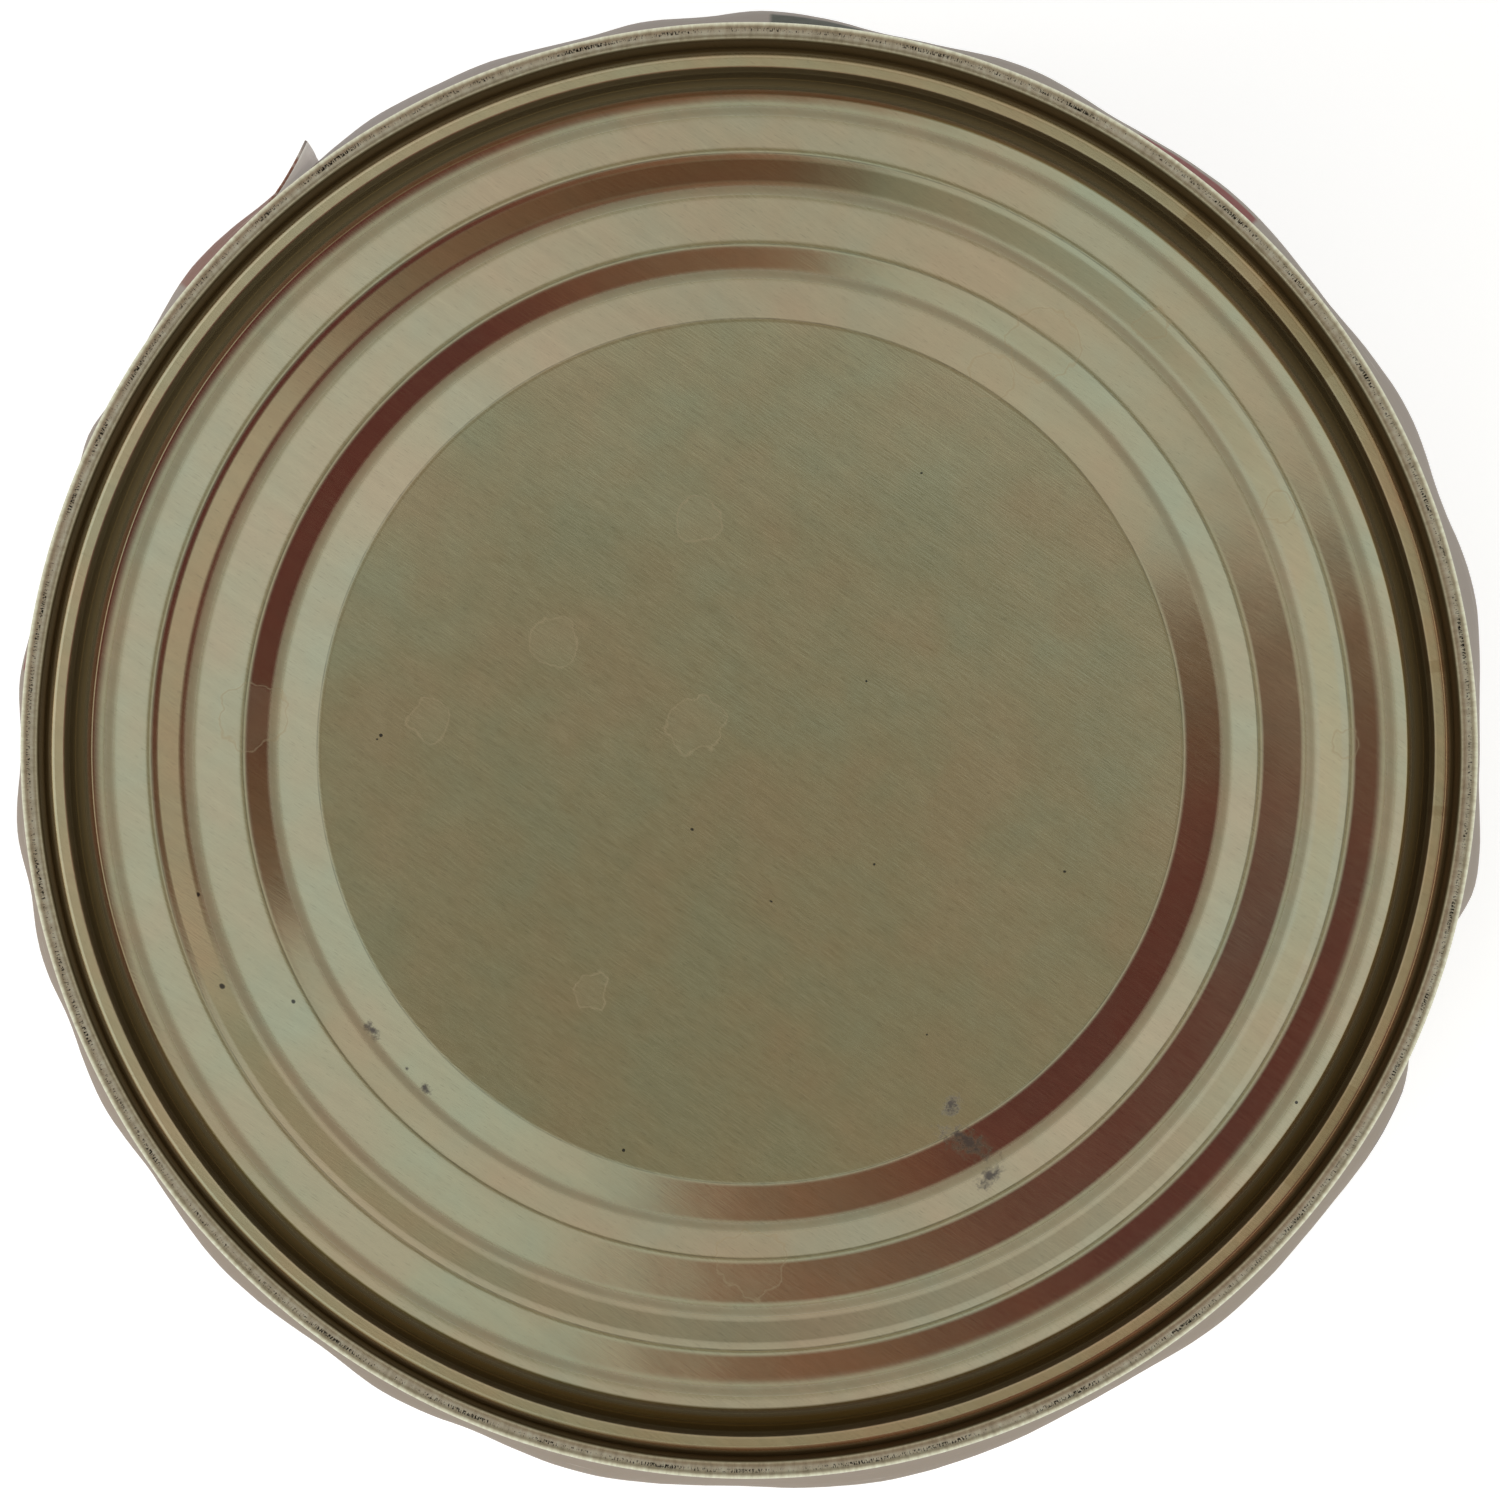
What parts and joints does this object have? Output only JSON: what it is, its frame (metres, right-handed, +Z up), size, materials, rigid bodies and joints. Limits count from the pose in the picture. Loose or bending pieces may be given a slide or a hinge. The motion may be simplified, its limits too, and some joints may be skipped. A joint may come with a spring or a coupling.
{
  "type": "can of dog food",
  "caption": "Shut cylindrical tinplate food can with double-seamed ribbed ends and a loose, wavy paper label lapped over itself.",
  "frame": {"origin": "centre of the can's footprint, on the surface it stands on", "axes": "+Z up along the can's axis, towards the end that was seen; +Y is the top of the picture and +X its right; the label's free edge is 126 degrees counter-clockwise from +X"},
  "size_m": [0.0776, 0.0784, 0.1127],
  "materials": {
    "tinplate": "bright rolled tinplate, lightly water-marked and scuffed",
    "label": "coated printed paper, damp-swollen and dulled"
  },
  "bodies": {
    "root": {"can_body": "tinplate", "top_end": "tinplate", "bottom_end": "tinplate", "paper_label": "label"}
  },
  "joints": []
}
